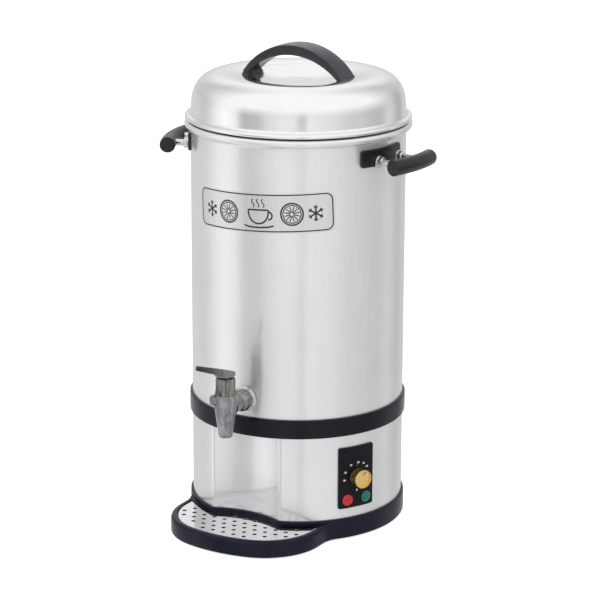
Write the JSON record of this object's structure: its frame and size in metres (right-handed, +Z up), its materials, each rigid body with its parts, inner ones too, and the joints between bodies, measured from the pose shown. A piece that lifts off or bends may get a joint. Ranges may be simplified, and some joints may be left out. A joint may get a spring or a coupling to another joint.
{
  "type": "mulled wine boiler",
  "caption": "Tall polished steel drinks urn with domed lift-off lid, side grips, spring-closing lever tap, thermostat panel and black base with drip tray and grate.",
  "frame": {"origin": "on the vessel's axis, at the floor under the rubber feet", "axes": "+Z up along the vessel's axis, -Y the way the tap points, +X to the right seen from the front"},
  "size_m": [0.358, 0.4037, 0.6074],
  "materials": {
    "polished_steel": "polished",
    "steel_fittings": "satin",
    "chrome_trim": "polished",
    "black_gloss": "gloss",
    "black_satin": "satin",
    "black_screws": "satin",
    "smoke_plastic": "gloss",
    "label_film": "satin",
    "dark_rubber": "matte",
    "pale_rubber": "matte",
    "brass_tone": "satin",
    "pointer_red": "gloss",
    "lamp_red": "gloss",
    "lamp_green": "gloss",
    "cream_plastic": "matte",
    "dark_plastic": "matte",
    "cast_aluminium": "cast",
    "heater_tube": "oxidised",
    "copper": "satin",
    "wire_sleeve": "matte"
  },
  "bodies": {
    "boiler": {"base_skirt": "polished_steel", "vessel_wall": "polished_steel", "vessel_bottom": "polished_steel", "handle_bracket_right": "steel_fittings", "handle_bracket_left": "steel_fittings", "handle_screws": "steel_fittings", "handle_nuts": "steel_fittings", "tap_lock_nut": "steel_fittings", "tap_spring": "steel_fittings", "lever_pin": "steel_fittings", "thermostat_nut": "steel_fittings", "bottom_plate": "steel_fittings", "bottom_screws": "steel_fittings", "bulb_clip": "steel_fittings", "tap_washer": "chrome_trim", "base_ring": "black_gloss", "trim_band": "black_gloss", "control_panel": "black_gloss", "handle_plate_right": "black_satin", "handle_plate_left": "black_satin", "grip_upper_right": "black_satin", "grip_lower_right": "black_satin", "grip_upper_left": "black_satin", "grip_lower_left": "black_satin", "cable_gland": "black_satin", "gland_cap": "black_satin", "gland_nut": "black_satin", "grip_screws": "black_screws", "tap_body": "smoke_plastic", "tap_bonnet": "smoke_plastic", "label_film": "label_film", "rubber_feet": "dark_rubber", "tap_gasket": "dark_rubber", "tap_inner_gasket": "pale_rubber", "red_lamp_lens": "lamp_red", "green_lamp_lens": "lamp_green", "thermostat_body": "cream_plastic", "lamp_bodies": "cream_plastic", "terminal_block": "cream_plastic", "thermal_cutout": "dark_plastic", "heating_plate": "cast_aluminium", "heating_element": "heater_tube", "thermostat_bulb": "copper", "capillary_tube": "copper", "wiring": "wire_sleeve"},
    "lid": {"lid_shell": "polished_steel", "lid_handle": "black_satin", "lid_screws": "steel_fittings"},
    "lever": {"tap_lever": "smoke_plastic"},
    "stem": {"tap_stem": "steel_fittings", "seat_cup": "pale_rubber"},
    "dial": {"knob": "brass_tone", "knob_pointer": "pointer_red", "thermostat_spindle": "steel_fittings"},
    "grate": {"drip_grate": "polished_steel"}
  },
  "joints": [
    {"name": "lid_lift", "type": "slide", "parent": "boiler", "child": "lid", "axis": [0, 0, 1], "range_m": [0, 0.15]},
    {"name": "lever_press", "type": "hinge", "parent": "boiler", "child": "lever", "pos_m": [0, -0.192, 0.232], "axis": [1, 0, 0], "range_deg": [0, 30], "stiffness_Nm_per_rad": 0.6, "springref_deg": -17.19},
    {"name": "stem_lift", "type": "slide", "parent": "boiler", "child": "stem", "axis": [0, 0, 1], "range_m": [0, 0.0042], "deforming": ["tap_spring"]},
    {"name": "knob_turn", "type": "hinge", "parent": "boiler", "child": "dial", "pos_m": [0.12195, -0.06649, 0.0805], "axis": [0.878, -0.4787, 0], "range_deg": [-118, 212]},
    {"name": "grate_lift", "type": "slide", "parent": "boiler", "child": "grate", "axis": [0, 0, 1], "range_m": [0, 0.1]}
  ],
  "couplings": [
    {"joint": "stem_lift", "follows": "lever_press", "m_per_rad": 0.007909}
  ]
}
